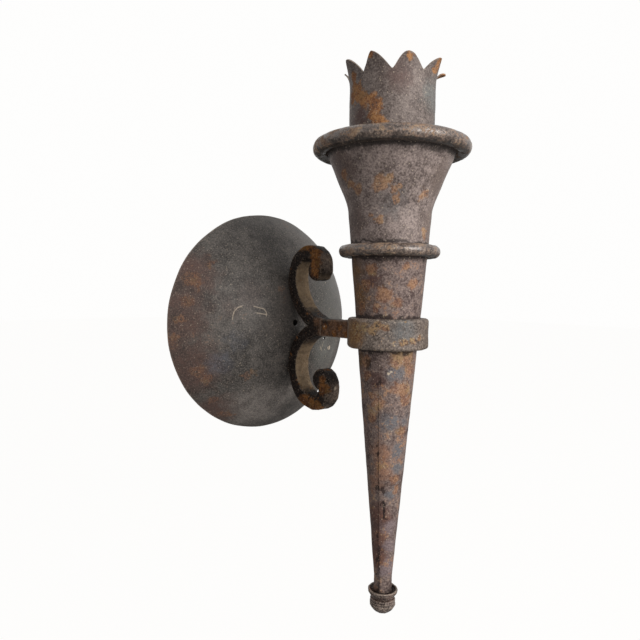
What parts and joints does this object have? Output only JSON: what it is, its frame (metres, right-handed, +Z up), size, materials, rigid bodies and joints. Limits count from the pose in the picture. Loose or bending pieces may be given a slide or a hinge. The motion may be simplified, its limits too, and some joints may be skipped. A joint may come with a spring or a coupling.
{
  "type": "torch sconce",
  "caption": "Forged-iron torch sconce: a domed wall plate, a forked scroll arm and a tapering torch with a ringed rim, a leafed crown and a hidden bulb holder.",
  "frame": {"origin": "centre of the domed plate's open back, which lies on the wall, midway between the hanger bar's keyholes", "axes": "+X to the right as seen from the room, +Y into the wall, +Z up"},
  "size_m": [0.222, 0.2396, 0.4539],
  "materials": {
    "plate_iron": "dark forged sheet with a brown-grey patina and bright scratches",
    "fork_iron": "forged bar, dark with orange-brown rust on the edges",
    "collar_iron": "dark forged strap with a rough weld",
    "torch_iron": "rolled sheet with blotches of rust and dark oxide",
    "ring_iron": "dark round bar with a soft sheen",
    "crown_iron": "dark sheet with rusty leaf tips",
    "pan_iron": "dark sheet, blackened",
    "rivet_iron": "dark rivet heads",
    "finial_iron": "dark turned iron with rust in the cup",
    "hanger_steel": "plain flat bar",
    "ground_paint": "green painted screw",
    "zinc_steel": "zinc-plated steel",
    "screw_steel": "bright steel screws",
    "socket_brass": "drawn brass",
    "porcelain": "glazed white porcelain"
  },
  "bodies": {
    "root": {"back_plate": "plate_iron", "hanger_bar": "hanger_steel", "ground_screw": "ground_paint", "upper_scroll": "fork_iron", "lower_scroll": "fork_iron", "arm": "fork_iron", "collar": "collar_iron", "torch_cone": "torch_iron", "torch_head": "torch_iron", "neck_ring": "ring_iron", "rim_ring": "ring_iron", "pan": "pan_iron", "crown": "crown_iron", "crown_rivets": "rivet_iron", "nipple": "zinc_steel", "lock_nut": "zinc_steel", "lampholder_cap": "zinc_steel", "lampholder_body": "porcelain", "screw_shell": "socket_brass", "centre_contact": "socket_brass", "shell_rivet": "socket_brass", "terminal_plates": "socket_brass", "terminal_screws": "socket_brass", "holder_screws": "screw_steel", "finial_cup": "finial_iron", "finial_button": "finial_iron", "finial_stud": "zinc_steel", "tail_plug": "zinc_steel"}
  },
  "joints": []
}
